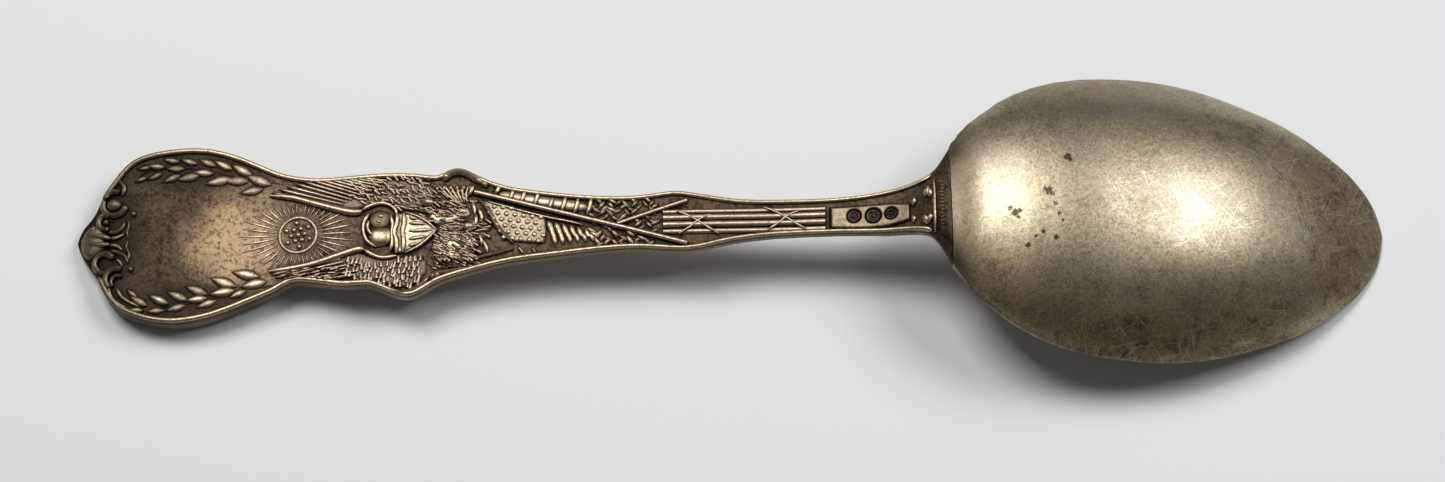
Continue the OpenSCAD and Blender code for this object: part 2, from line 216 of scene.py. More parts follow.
def make_tarnish_group():
    """Silver worn bright where it is raised, brown where flat and nearly black in recesses."""
    tree, given, result = new_group("tarnished_relief", (
            ("Bright", "Color", (0.64, 0.51, 0.345, 1)),
            ("Brown", "Color", (0.1, 0.075, 0.048, 1)),
            ("Old Brown", "Color", (0.0125, 0.0097, 0.0072, 1)),
            ("Recess", "Color", (0.007, 0.0055, 0.004, 1)),
            ("Recess Strength", "Float", 1.0),
            ("Wear", "Float", 0.0),
        ), (("Colour", "Color"), ("Roughness", "Float"), ("Height", "Float"), ("Recessed", "Float"),
            ("Mottle", "Float")))
    place, x = object_place(tree)
    blotches = noise(place, BLOTCHES, 5, 0.7)
    mottle = noise(place, MOTTLING, 6, 0.8)
    speckle = noise(place, SPECKLES, 3)
    lift = node(tree, "Attribute", attribute_name="lift").outputs["Fac"]
    shade = node(tree, "AmbientOcclusion", samples=8, Distance=RECESS_REACH).outputs["AO"]
    deep = times(ramp(shade, 0.42, 0.92, 1, 0), given.outputs["Recess Strength"])
    worn = maths("ADD", ramp(lift, 0.06, 0.34), given.outputs["Wear"])
    worn = times(worn, ramp(x, -0.071, -0.058, 0.42, 1))
    worn = times(worn, ramp(mottle, 0.34, 0.58, 0.55, 1))
    worn = times(worn, ramp(speckle, 0.32, 0.58, 0.7, 1))
    cloud = maths("ADD", times(blotches, 0.3), times(mottle, 0.7))
    brown = blend(ramp(x, -0.063, -0.054), given.outputs["Old Brown"], given.outputs["Brown"])
    brown = blend(ramp(x, -0.047, -0.04, 0, 0.5), brown, given.outputs["Old Brown"])
    brown = blend(ramp(cloud, 0.38, 0.6), given.outputs["Recess"], brown)
    colour = blend(worn, brown, given.outputs["Bright"])
    colour = blend(deep, colour, given.outputs["Recess"])
    link(colour, result.inputs["Colour"])
    rough = ramp(worn, 0, 1, 0.55, 0.42)
    link(maths("ADD", rough, times(deep, 0.25)), result.inputs["Roughness"])
    link(maths("ADD", times(mottle, 0.6), times(speckle, 0.4)), result.inputs["Height"])
    link(deep, result.inputs["Recessed"])
    link(mottle, result.inputs["Mottle"])
    return tree


# Hairlines: direction in degrees, cells per metre across them, and a seed
HAIRLINES = ((28, 4600, 0.0), (64, 5100, 1.3), (-42, 4800, 2.1), (8, 5400, 3.7), (-75, 5000, 4.4))
HAIR_LENGTH = 210  # cells per metre along a hairline


def make_scratch_group():
    """Fine straight hairlines in several directions, as a mask of thin light lines."""
    tree, given, result = new_group("hairlines", (("Density", "Float", 0.5),), (("Mask", "Float"),))
    place = node(tree, "TexCoord").outputs["Object"]
    total = None
    for angle, fine, seed in HAIRLINES:
        turned = node(tree, "Mapping", vector_type="TEXTURE", Rotation=(0, 0, math.radians(angle)),
            Scale=(1 / HAIR_LENGTH, 1 / fine, 1 / HAIR_LENGTH), Location=(seed, seed * 3, seed))
        link(place, turned.inputs["Vector"])
        streak = ramp(noise(turned.outputs[0], 1.0, 2, 0.5), 0.61, 0.72)
        total = streak if total is None else maths("ADD", total, streak)
    sparse = ramp(noise(place, 160, 4), 0.3, 0.6, 0.15, 1)
    link(times(times(total, sparse), given.outputs["Density"]), result.inputs["Mask"])
    return tree


BUMP_HEIGHT = 0.04 * MM


def metal(name):
    """A metal material and the places to wire it."""
    material = bpy.data.materials.new(name)
    material.use_nodes = True
    tree = material.node_tree
    shader = tree.nodes["Principled BSDF"]
    shader.inputs["Metallic"].default_value = 1
    bump = node(tree, "Bump", Strength=0.35, Distance=BUMP_HEIGHT)
    link(bump.outputs["Normal"], shader.inputs["Normal"])
    return material, tree, shader, bump


def use_group(tree, group, **values):
    made = tree.nodes.new("ShaderNodeGroup")
    made.node_tree = group
    for key, value in values.items():
        made.inputs[key.replace("_", " ")].default_value = value
    return made


def relief_finish(name, group, **values):
    material, tree, shader, bump = metal(name)
    made = use_group(tree, group, **values)
    link(made.outputs["Colour"], shader.inputs["Base Color"])
    link(made.outputs["Roughness"], shader.inputs["Roughness"])
    link(made.outputs["Height"], bump.inputs["Height"])
    return material


def spot(place, centre, size, soft=1.0, halo=True):
    """Mask of an oval patch in mm with a ragged edge; a halo leaves a fifth of it everywhere."""
    centre, size = (tuple(c * MM for c in triple) for triple in (centre, size))
    frayed = times(maths("SUBTRACT", noise(place, 260, 6, 0.7), 0.35), soft)
    ragged = node(place.id_data, "Math", operation="ADD", use_clamp=halo)
    link(oval_distance(place, centre, size), ragged.inputs[0])
    link(frayed, ragged.inputs[1])
    return ramp(ragged.outputs[0], 0.4, 1.24, 1, 0)


# Ground under the laurels and beside the crest, nearly black: centre and size in mm
DARK_BANDS = (((-60.5, 8.0, 3), (10.5, 2.6, 9)), ((-60.5, -7.6, 3), (10.5, 2.4, 9)),
    ((-70.5, 0, 3), (4.2, 9, 9)))
# Patch of the plain field rubbed to a coppery gold: centre and size in mm
COPPER_PATCH = ((-56.2, -1.0, 3), (7.2, 7.2, 9))
NEARLY_BLACK = (0.02, 0.0155, 0.011)


def handle_finish(group, **values):
    """The same tarnish, rubbed to a coppery gold round the rays."""
    material = relief_finish("handle_silver", group, **values)
    tree = material.node_tree
    made = next(n for n in tree.nodes if n.type == "GROUP")
    place = node(tree, "TexCoord").outputs["Object"]
    rubbed = spot(place, *COPPER_PATCH, 0.9, halo=False)
    rubbed = times(rubbed, rest_of(made.outputs["Recessed"]))
    tone = maths("ADD", made.outputs["Mottle"], noise(place, 1500, 6, 0.8))
    tone = times(tone, 0.5)
    copper = blend(ramp(tone, 0.43, 0.57), (0.12, 0.068, 0.034), (0.53, 0.4, 0.245))
    colour = blend(rubbed, made.outputs["Colour"], copper)
    for centre, size in DARK_BANDS:
        mask = times(spot(place, centre, size, 0.5, halo=False), 0.85)
        colour = blend(mask, colour, NEARLY_BLACK)
    link(colour, tree.nodes["Principled BSDF"].inputs["Base Color"])
    return material


# Bare silver, also a painted highlight where the rubbed patches lie on the bowl's reflections
BARE_SILVER_HIGHLIGHT = (0.98, 0.975, 0.9)
# Patches of the bowl rubbed back to bare silver, laid over the two highlights and between them, so
# partly painted highlight: centre and size in mm, strength
RUBBED_AND_HIGHLIGHT = (((29.5, 1.5, 12), (6.5, 9, 14), 0.9), ((52, -0.5, 10), (12.5, 7.5, 14), 0.9),
    ((44, 12, 10), (13, 5.5, 14), 0.9), ((40.5, 2.5, 12), (7, 8, 14), 0.4))
# Stains on the bowl, with painted shade and dark reflection along its lower side, upper right,
# right side, tip and top rim: centre and size in mm, strength, colour
STAINS_AND_SHADE = (((38, 14, 8), (12, 4.2, 12), 0.5, (0.9, 0.7, 0.45)),
    # This row and the next, near black along the lower side that faces away from the lights:
    # tarnish and painted shade
    ((45, -15.3, 8), (15, 5, 14), 0.95, (0.035, 0.028, 0.018)),
    ((58, -13, 6), (10, 5, 12), 0.8, (0.06, 0.047, 0.028)),
    ((35, -11.5, 11), (8, 5, 12), 0.5, (0.13, 0.085, 0.045)),
    # These three rows darken the upper right, the tip and the right side: painted dark reflection
    ((58.5, 9.6, 8), (11, 3.4, 12), 0.7, (0.12, 0.1, 0.062)),
    ((70, 2, 4), (8.5, 15, 12), 0.97, (0.062, 0.051, 0.031)),
    ((64, 5, 6), (6, 8, 12), 0.7, (0.15, 0.125, 0.075)),
    ((67.5, -6.4, 4), (5, 3.5, 9), 0.55, (0.32, 0.15, 0.07)),
    # Dark along the top rim: painted dark reflection
    ((43, 16.8, 8), (11, 1.4, 12), 0.3, (0.12, 0.095, 0.06)),
    ((30, -8.5, 12), (6, 6, 12), 0.55, (0.55, 0.36, 0.2)),
    ((26.4, 0, 12), (2.3, 12, 14), 0.6, (0.33, 0.235, 0.14)))
# Pits on the bowl: place and radius in mm
PITS = ((37.6, 4.4, 0.42), (37.9, 4.1, 0.3), (35.3, 0.4, 0.5), (35.7, 0.0, 0.35),
    (31.5, -2.1, 0.42), (31.1, -1.5, 0.3), (32.1, -1.9, 0.3), (31.9, -2.6, 0.22),
    (36.1, -1.2, 0.26), (36.5, -2.4, 0.24), (36.8, -3.2, 0.2), (34.6, -4.4, 0.28),
    (33.8, -4.9, 0.22), (32.9, -5.9, 0.3), (36.0, -5.1, 0.26))


def patches(place, colour, rows):
    """Lays ragged patches over a colour. Gives the new colour and the strongest mask."""
    strongest = None
    for centre, size, strength, tint in rows:
        mask = times(spot(place, centre, size), strength)
        colour = blend(mask, colour, tint)
        strongest = mask if strongest is None else maths("MAXIMUM", strongest, mask)
    return colour, strongest


def pit_mask(place):
    pits = None
    for x, y, radius in PITS:
        size = (radius * MM, radius * MM, 1)
        away = oval_distance(place, (x * MM, y * MM, 0), size, turn=x)
        reach = times(times(away, 0.25), ramp(noise(place, 2600, 3), 0.3, 0.7, 0.6, 1.5))
        pit = ramp(reach, 0.16, 0.3, 1, 0)
        pits = pit if pits is None else maths("MAXIMUM", pits, pit)
    return pits


def bowl_finish(scratches):
    """Yellowed silver with brown blotches, stains, painted shade and dark reflection along the
    lower side, right side and tip, painted highlight on rubbed patches, pits and hairlines.
    """
    material, tree, shader, bump = metal("bowl_silver")
    place, x = object_place(tree)
    broad = noise(place, 75, 5, 0.65)
    fine = noise(place, 1900, 8, 0.85)
    grit = noise(place, 5200, 2)
    colour = blend(ramp(broad, 0.4, 0.62), (0.98, 0.95, 0.56), (0.86, 0.81, 0.45))
    # Rubbed bare silver, with painted highlight over the two reflections
    colour, bare_and_highlight = patches(place, colour, [(*row, BARE_SILVER_HIGHLIGHT) for row in RUBBED_AND_HIGHLIGHT])
    # Stains, with painted shade and dark reflection on the lower side, right side, tip and top rim
    colour, stain_and_shade_mask = patches(place, colour, STAINS_AND_SHADE)
    kept = rest_of(times(bare_and_highlight, 0.6))
    grain = times(ramp(fine, 0.47, 0.6, 0, 0.85), kept)
    colour = blend(grain, colour, (0.2, 0.175, 0.085))
    grain = times(ramp(grit, 0.5, 0.6, 0, 0.6), kept)
    colour = blend(grain, colour, (0.12, 0.1, 0.05))
    # Near black blotches, mostly inside the stains and the painted shade
    blotch = ramp(noise(place, 430, 7, 0.75), 0.5, 0.62)
    blotch = times(blotch, maths("ADD", times(stain_and_shade_mask, 0.75), 0.08))
    colour = blend(times(blotch, kept), colour, (0.035, 0.03, 0.02))
    flecks = ramp(noise(place, 2700, 5, 0.7), 0.52, 0.62, 0, 0.28)
    flecks = times(flecks, rest_of(times(stain_and_shade_mask, 0.55)))
    colour = blend(flecks, colour, (0.75, 0.7, 0.42))
    heel = ramp(x, 0.0247, 0.028, 0.93, 0)
    colour = blend(heel, colour, (0.13, 0.105, 0.07))
    pits = pit_mask(place)
    colour = blend(times(pits, 0.92), colour, (0.03, 0.02, 0.012))
    lines = use_group(tree, scratches, Density=0.55).outputs["Mask"]
    lines = times(lines, ramp(x, 0.026, 0.034, 0.2, 1))
    colour = blend(times(lines, 0.34), colour, (0.95, 0.91, 0.7))
    link(colour, shader.inputs["Base Color"])
    rough = maths("ADD", ramp(broad, 0.35, 0.65, 0.37, 0.45), times(stain_and_shade_mask, 0.2))
    rough = maths("SUBTRACT", rough, times(bare_and_highlight, 0.05))
    rough = maths("SUBTRACT", rough, times(lines, 0.12))
    link(rough, shader.inputs["Roughness"])
    relief = maths("SUBTRACT", times(fine, 0.5), times(lines, 0.25))
    relief = maths("SUBTRACT", relief, times(pits, 0.5))
    link(relief, bump.inputs["Height"])
    return material


tarnish = make_tarnish_group()
hairlines = make_scratch_group()
HANDLE_TONES = {
    "Bright": (0.36, 0.29, 0.205, 1),
    "Brown": (0.16, 0.115, 0.07, 1),
    "Old Brown": (0.07, 0.052, 0.033, 1),
    "Recess": (0.012, 0.0095, 0.007, 1),
}
FINISHES = {
    "relief_silver": relief_finish("relief_silver", tarnish),
    "handle_silver": handle_finish(tarnish, **HANDLE_TONES),
    "bowl_silver": bowl_finish(hairlines),
}


# ---------- Making meshes ----------

def deselect():
    bpy.ops.object.select_all(action="DESELECT")


def activate(piece):
    deselect()
    piece.select_set(True)
    bpy.context.view_layer.objects.active = piece


def named(name):
    """Takes the object that an operator has just added, and names it."""
    piece = bpy.context.object
    piece.name = name
    piece.data.name = name
    return piece


def apply_modifiers(piece):
    activate(piece)
    for modifier in list(piece.modifiers):
        bpy.ops.object.modifier_apply(modifier=modifier.name)


def finish_piece(piece, node, slot, angle=40):
    """Smooth shading, body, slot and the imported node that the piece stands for."""
    activate(piece)
    bpy.ops.object.shade_smooth_by_angle(angle=math.radians(angle))
    piece.data.materials.clear()
    piece.data.materials.append(FINISHES[slot])
    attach(piece, "root")
    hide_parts(node)


# ---------- Handle ----------

NECK_FROM = 18.5 * MM   # where the flat back starts to round into the bowl
NECK_CROWN = 1.7 * MM   # how much lower its edges are at the bowl


def dome(a):
    """Rounded cross-section, 1 in the middle and 0 at the edge."""
    return (1 - min(abs(a), 1) ** 2.3) ** 0.72


def crown(x, a):
    """Drop of the back from its middle line to a place a of the way to the edge."""
    blend = min(max((x - NECK_FROM) / (HANDLE_TO - NECK_FROM), 0), 1)
    return NECK_CROWN * blend * blend * (1 - dome(a))


def outline_stations(spacing):
    """Places along X that lie evenly round the outline, closer where it is steep."""
    places = [HANDLE_FROM]
    travelled = 0
    steps = 4000
    for i in range(steps):
        x0 = HANDLE_FROM + (HANDLE_TO - HANDLE_FROM) * i / steps
        x1 = HANDLE_FROM + (HANDLE_TO - HANDLE_FROM) * (i + 1) / steps
        rise = max(abs(side_up(x1) - side_up(x0)), abs(side_down(x1) - side_down(x0)))
        travelled += math.hypot(x1 - x0, rise)
        if travelled >= spacing:
            places.append(x1)
            travelled = 0
    places[-1] = HANDLE_TO
    return places


def make_handle():
    """A sheet laid over the back, given its thickness, with its edges rounded."""
    deselect()
    stations = outline_stations(0.55 * MM)
    columns = 28
    bpy.ops.mesh.primitive_grid_add(x_subdivisions=len(stations) - 1, y_subdivisions=columns,
        size=2)
    piece = named("handle_blank")
    for v in piece.data.vertices:
        x = stations[round((v.co.x + 1) / 2 * (len(stations) - 1))]
        a = math.sin(v.co.y * math.pi / 2)
        low, high = side_down(x), side_up(x)
        y = (low + high) / 2 + a * max(high - low, TINY) / 2
        v.co = (x, y, back(x) - crown(x, a))
    top = len(piece.data.vertices)
    wall = piece.modifiers.new("thickness", "SOLIDIFY")
    wall.thickness = 1 * MM
    wall.offset = -1
    apply_modifiers(piece)
    for v in piece.data.vertices[top:]:
        upper = piece.data.vertices[v.index - top].co
        v.co = (upper.x, upper.y, front(upper.x))
    edge = piece.modifiers.new("rounding", "BEVEL")
    edge.width = 0.3 * MM
    edge.segments = 3
    edge.angle_limit = math.radians(50)
    apply_modifiers(piece)
    worn = []
    for v in piece.data.vertices:
        below = (back(v.co.x) - crown(v.co.x, across(v.co.x, v.co.y)) - v.co.z) / MM
        worn.append(min(max(below * 1.6, 0), 0.45))
    piece.data.attributes.new("lift", "FLOAT", "POINT").data.foreach_set("value", worn)
    finish_piece(piece, "handle", "handle_silver")


# ---------- Bowl ----------

ROUND_FROM, ROUND_TO = 24.7 * MM, 74.2 * MM  # stretch of the bowl that keeps its full size


def subdivide(piece):
    fine = piece.modifiers.new("smooth", "SUBSURF")
    fine.levels = 2
    fine.render_levels = 2
    apply_modifiers(piece)


def make_bowl():
    """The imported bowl's faces, joined up and made smooth through their own corners."""
    deselect()
    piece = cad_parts["bowl"].copy()
    piece.data = piece.data.copy()
    bpy.context.scene.collection.objects.link(piece)
    piece.name = "bowl_shell"
    activate(piece)
    bpy.ops.object.mode_set(mode="EDIT")
    bpy.ops.mesh.select_all(action="SELECT")
    bpy.ops.mesh.remove_doubles(threshold=0.002 * MM)
    bpy.ops.mesh.tris_convert_to_quads(face_threshold=math.radians(60),
        shape_threshold=math.radians(80))
    bpy.ops.object.mode_set(mode="OBJECT")
    wanted = [v.co.copy() for v in piece.data.vertices]
    for _ in range(3):
        trial = piece.copy()
        trial.data = piece.data.copy()
        bpy.context.scene.collection.objects.link(trial)
        subdivide(trial)
        for v, target, reached in zip(piece.data.vertices, wanted, trial.data.vertices):
            if ROUND_FROM < target.x < ROUND_TO:
                v.co += target - reached.co
        bpy.data.objects.remove(trial)
    subdivide(piece)
    finish_piece(piece, "bowl", "bowl_silver", 60)


# ---------- Relief: small shapes ----------

def smooth_path(knots, steps=5):
    """Points along a smooth curve through knots given in mm."""
    knots = [Vector((*k, 0)) for k in knots]
    path = []
    for i in range(len(knots) - 1):
        a, b, c, d = (knots[min(max(j, 0), len(knots) - 1)] for j in (i - 1, i, i + 1, i + 2))
        for k in range(steps):
            t = k / steps
            path.append((2 * b + (c - a) * t + (2 * a - 5 * b + 4 * c - d) * t * t
                    + (3 * b - a - 3 * c + d) * t ** 3) / 2)
    return path + [knots[-1]]


def arc(centre, radius, start, end, steps=9):
    """Knots along part of a circle, angles in degrees."""
    angles = [math.radians(start + (end - start) * k / steps) for k in range(steps + 1)]
    return [(centre[0] + radius * math.cos(t), centre[1] + radius * math.sin(t)) for t in angles]


def ridge(knots, radius, end_radius=None, height=1.0, sides=8, lift=0.0, taper=True):
    """A rounded ridge along a curve, thinner at both ends, flattened to a height."""
    path = smooth_path(knots)
    end_radius = radius if end_radius is None else end_radius
    deselect()
    bpy.ops.curve.primitive_nurbs_path_add()
    curve = bpy.context.object
    curve.data.splines.clear()
    line = curve.data.splines.new("POLY")
    line.points.add(len(path) - 1)
    last = len(path) - 1
    for i, p in enumerate(path):
        line.points[i].co = (p.x, p.y, 0, 1)
        ends = min(i, last - i) / max(min(3, last / 2), 1) if taper else 1
        swelling = min(0.35 + 0.65 * ends, 1)
        line.points[i].radius = (radius + (end_radius - radius) * i / last) * swelling
    curve.data.bevel_depth = 1
    curve.data.bevel_resolution = sides // 2 - 2
    curve.data.use_fill_caps = True
    bpy.ops.object.convert(target="MESH")
    piece = bpy.context.object
    for v in piece.data.vertices:
        v.co.z = v.co.z * height + lift
    return piece


def make_leaf_master():
    """A pointed leaf, 1 long and 1 wide, crowned, with a raised midrib."""
    deselect()
    bpy.ops.mesh.primitive_grid_add(x_subdivisions=8, y_subdivisions=6, size=2)
    leaf = named("leaf_master")
    for v in leaf.data.vertices:
        t = (v.co.x + 1) / 2
        a = v.co.y
        half = 0.5 * math.sin(math.pi * t ** 0.8) ** 0.95 + 0.015
        rib = 0.1 * max(0, 1 - abs(a) * 3)
        crown_height = (1 - abs(a) ** 3) ** 0.6 * math.sin(math.pi * min(t * 0.9 + 0.08, 1)) ** 0.5
        v.co = (t, a * half, (0.85 + rib) * crown_height)
    return leaf


def make_feather_master():
    """A long feather, 1 long and 1 wide, round at its tip and raised along its shaft."""
    deselect()
    bpy.ops.mesh.primitive_grid_add(x_subdivisions=9, y_subdivisions=4, size=2)
    feather = named("feather_master")
    for v in feather.data.vertices:
        t = (v.co.x + 1) / 2
        a = v.co.y
        half = 0.5 * (0.6 + 0.4 * t) * (1 - max(t - 0.75, 0) ** 2 * 15.9) ** 0.5
        v.co = (t, a * half, (1 - abs(a) ** 2.2) ** 0.7 * (0.5 + 0.5 * t) * (1 - max(t - 0.85,
                    0) ** 2 * 36))
    return feather


def make_bead_master():
    """A flattened bead, radius 1."""
    deselect()
    bpy.ops.mesh.primitive_uv_sphere_add(segments=16, ring_count=8, radius=1)
    return named("bead_master")


def stamp(master, x, y, turn=0.0, size=(1, 1, 1), lift=0.0):
    """A copy of a master at a place in mm, turned by degrees, with its own mesh."""
    piece = master.copy()
    piece.data = master.data.copy()
    bpy.context.scene.collection.objects.link(piece)
    angle = math.radians(turn)
    for v in piece.data.vertices:
        px, py = v.co.x * size[0], v.co.y * size[1]
        v.co = (x + px * math.cos(angle) - py * math.sin(angle),
            y + px * math.sin(angle) + py * math.cos(angle), v.co.z * size[2] + lift)
    return piece


# Steps of a cushion's rounded edge: share of its width, share of its rise
ROUNDING_STEPS = ((0.12, 0.4), (0.25, 0.33), (0.3, 0.19), (0.33, 0.08))


def cushion(outline, height, rounding=0.3):
    """A plate with a rounded edge from an outline in mm, as if pressed up from below."""
    deselect()
    bpy.ops.mesh.primitive_circle_add(vertices=len(outline), fill_type="NGON")
    plate = bpy.context.object
    for v, p in zip(plate.data.vertices, outline):
        v.co = (p[0], p[1], 0)
    plate.data.update()
    bpy.ops.object.mode_set(mode="EDIT")
    bpy.ops.mesh.select_all(action="SELECT")
    if plate.data.polygons[0].normal.z < 0:
        bpy.ops.mesh.flip_normals()
    for share, rise in ROUNDING_STEPS:
        bpy.ops.mesh.inset(thickness=rounding * share, depth=0)
        bpy.ops.transform.translate(value=(0, 0, height * rise))
    bpy.ops.object.mode_set(mode="OBJECT")
    return plate


def lay(parts, name, node, sink=0.06, angle=50, margin=None, wear=1.0):
    """Joins parts, lays them on the handle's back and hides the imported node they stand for.

    A margin in mm keeps every point that far inside the handle's outline, and wear says how
    brightly the piece is rubbed for its height.
    """
    deselect()
    for part in parts:
        part.select_set(True)
    bpy.context.view_layer.objects.active = parts[0]
    if len(parts) > 1:
        bpy.ops.object.join()
    piece = bpy.context.object
    piece.name = name
    piece.data.name = name
    raised = []
    for v in piece.data.vertices:
        x, y = v.co.x * MM, (v.co.y + AXIS_Y) * MM
        low, high = side_down(x), side_up(x)
        if margin is not None:
            y = min(max(y, low + margin * MM), high - margin * MM)
        raised.append(v.co.z * wear)
        v.co = (x, y, back(x) - crown(x, across(x, y)) + (v.co.z - sink) * MM)
    piece.data.attributes.new("lift", "FLOAT", "POINT").data.foreach_set("value", raised)
    piece.data.update()
    finish_piece(piece, node, "relief_silver", angle)


leaf_master = make_leaf_master()
feather_master = make_feather_master()
bead_master = make_bead_master()


def bead(x, y, turn=0.0, size=(1, 1, 1), lift=0.0):
    return stamp(bead_master, x, y, turn, size, lift)


def leaves(rows, height=0.42):
    """Leaves from rows of x, y of the stalk, direction in degrees and length."""
    made = []
    for x, y, turn, length in rows:
        size = (length * 1.16, length * 0.52, height * rng.uniform(0.7, 1.2))
        made.append(stamp(leaf_master, x, y, turn, size))
    return made


# ---------- Relief: the motifs from the handle's tip to the neck ----------

MOULDING_INSET = 0.24       # of the moulding's middle line from the outline, in mm
MOULDING_SPACING = 0.8      # least distance between its knots, in mm
MOULDING_ENDS = (-72.3, 22.6)


def make_borders():
    """The mouldings that follow both edges of the back."""
    for name, edge, way in (("border_upper", side_up, -1), ("border_lower", side_down, 1)):
        knots = []
        last = None
        for i in range(1300):
            x = MOULDING_ENDS[0] + i * 0.073
            if x > MOULDING_ENDS[1]:
                break
            slope = (edge((x + 0.1) * MM) - edge((x - 0.1) * MM)) / (0.2 * MM)
            inwards = Vector((-slope, 1)).normalized() * way * MOULDING_INSET
            point = Vector((x, edge(x * MM) / MM - AXIS_Y)) + inwards
            if last is None or (point - last).length > MOULDING_SPACING:
                knots.append((point.x, point.y))
                last = point
        lay([ridge(knots, 0.36, 0.26, height=1.1, sides=10, lift=0.1)], name + "_moulding", name)


def make_crest():
    leaf = cushion([(-74.6, 0.6), (-74.0, 1.6), (-73.1, 2.2), (-72.1, 1.8), (-71.3, 0.6),
            (-71.4, -0.9), (-72.5, -1.9), (-73.5, -2.2), (-74.3, -1.4), (-74.6, -0.5)], 0.7, 1.0)
    ribs = [ridge([(-73.6, 0.7), (-72.2, 0.5), (-70.9, 0.1)], 0.28, 0.36, 0.8, lift=0.66),
        ridge([(-73.7, -0.3), (-72.3, -0.5), (-71, -0.6)], 0.26, 0.34, 0.8, lift=0.66),
        ridge(arc((-72.6, 0.1), 1.6, 100, 260), 0.2, 0.2, 0.9, lift=0.5),
        ridge([(-71.2, 0.2), (-70.2, 0.3), (-69.4, 0.7)], 0.3, 0.2, lift=0.2),
        ridge([(-71.3, -0.5), (-70.2, -0.7), (-69.5, -1.3)], 0.3, 0.2, lift=0.2)]
    lay([leaf] + ribs, "crest_shell", "crest_leaf", margin=0.05)
    upper = [bead(-70.75, 4.25, 0, (0.95, 0.85, 0.95)),
        ridge(arc((-70.7, 4.4), 1.35, 150, 352), 0.36, 0.46, 1.2, lift=0.15),
        ridge(arc((-70.8, 5.0), 0.95, 50, 170), 0.34, 0.3, 1.2, lift=0.3),
        ridge([(-71.9, 5.4), (-71.6, 6.6), (-70.9, 7.8), (-69.9, 8.6)], 0.25, 0.2, lift=0.15),
        ridge([(-69.9, 5.4), (-69.7, 6.4), (-70.3, 7.2), (-71, 6.9)], 0.38, 0.22, 1.2, lift=0.1),
        ridge(arc((-71.6, 2.2), 0.85, 60, 300), 0.42, 0.34, 1.3, lift=0.3),
        bead(-71.6, 2.2, 0, (0.42, 0.42, 0.8)),
        ridge([(-71.5, 1.1), (-70.5, 1.0), (-69.7, 1.5), (-69.4, 2.4)], 0.4, 0.25, 1.2),
        ridge([(-72.7, 3.0), (-71.7, 2.8), (-70.6, 2.2)], 0.35, 0.2, 1.2),
        ridge([(-69.2, 2.7), (-68.9, 1.8), (-69.1, 0.9), (-68.8, 0.1)], 0.25, 0.2, 1.2)]
    lay(upper, "crest_scrolls_up", "crest_scrolls_upper", margin=0.05)
    lower = [ridge(arc((-71.6, -2.7), 1.1, 20, 250), 0.44, 0.34, 1.3, lift=0.2),
        ridge([(-72.9, -2.9), (-72.1, -3.7), (-71, -3.9), (-70.2, -3.3)], 0.35, 0.3, 1.2),
        ridge(arc((-70.1, -4.7), 1.2, 60, 240), 0.44, 0.34, 1.2, lift=0.2),
        ridge(arc((-69.9, -5.1), 0.7, 50, 230), 0.26, 0.2, 1.2, lift=0.3),
        ridge([(-71.7, -5.4), (-71.3, -6.8), (-70.3, -8.0), (-69, -8.9)], 0.33, 0.22, lift=0.1),
        ridge([(-70.9, -5.6), (-70.6, -6.8), (-69.6, -7.8), (-68.3, -8.6)], 0.3, 0.2, lift=0.2),
        ridge([(-69.9, -5.8), (-69.4, -6.8), (-68.4, -7.6), (-67.2, -8.2)], 0.28, 0.2, lift=0.15),
        ridge([(-71, -1.3), (-70, -1.5), (-69.1, -2.1), (-68.8, -3)], 0.38, 0.22, 1.2),
        ridge([(-70.3, -2.2), (-69.7, -2.7), (-69.4, -3.5)], 0.3, 0.2, 1.1),
        ridge([(-68.8, 0), (-69.1, -0.8), (-68.7, -1.8), (-68.9, -2.7)], 0.2, 0.28, 1.2)]
    lay(lower, "crest_scrolls_down", "crest_scrolls_lower", margin=0.05)
    lay([bead(-68.4, y, 0, (0.36, 0.36, 0.55)) for y in (3.1, -3.65)],
        "crest_pearls", "pearls")


def make_laurels():
    """Leaves grow in pairs from stems that start beside the eagle's wing tips."""
    upper_rows = [(-52.6, 6.3, 158, 3.0), (-53.5, 5.9, 190, 2.6), (-54.9, 7.5, 150, 2.6),
        (-55.2, 6.9, 178, 2.8), (-57.2, 8.3, 152, 2.3), (-57.2, 7.3, 192, 2.9),
        (-59, 8.8, 158, 2.2), (-59.3, 7.9, 175, 2.3), (-60.8, 7.8, 192, 2.7),
        (-61.2, 9.1, 164, 2.0), (-62.6, 8.6, 180, 2.2), (-63.1, 7.9, 205, 2.2),
        (-63.3, 9.4, 170, 1.9), (-65, 8.8, 176, 2.0), (-65.2, 8.2, 208, 1.9),
        (-66.6, 8.9, 190, 1.6), (-67, 7.6, 200, 1.5)]
    stem = ridge([(-51, 6.3), (-55, 7.1), (-59, 8.1), (-63, 8.6), (-67, 8.3), (-68.6, 6.9)], 0.16,
        0.12)
    lay(leaves(upper_rows) + [stem], "laurel_spray_upper", "laurel_upper", margin=0.3, wear=0.66)
    lower_rows = [(-53.6, -4.9, 168, 2.9), (-52.7, -5.4, 192, 2.8), (-56.2, -6.0, 160, 2.9),
        (-56.3, -6.4, 190, 2.7), (-59.4, -6.9, 158, 2.6), (-59.4, -7.3, 187, 2.3),
        (-55, -6.4, 205, 2.0), (-61.6, -7.6, 156, 2.5), (-61.8, -8.1, 196, 2.2),
        (-58.4, -7.6, 200, 2.2), (-63.8, -8.0, 155, 2.4), (-64.2, -8.7, 183, 2.0),
        (-66.2, -8.2, 150, 2.3), (-66.6, -8.7, 176, 1.8), (-67.4, -7.2, 140, 1.7)]
    stem = ridge([(-51, -5.9), (-55, -6.3), (-59, -7.3), (-63, -8.2), (-66.5, -8.5)], 0.16, 0.12)
    lay(leaves(lower_rows) + [stem], "laurel_spray_lower", "laurel_lower", margin=0.3, wear=0.75)


MEDALLION = (-49.4, 0.05)  # its centre, in mm
RAYS = 42
RAY_START = 2.5


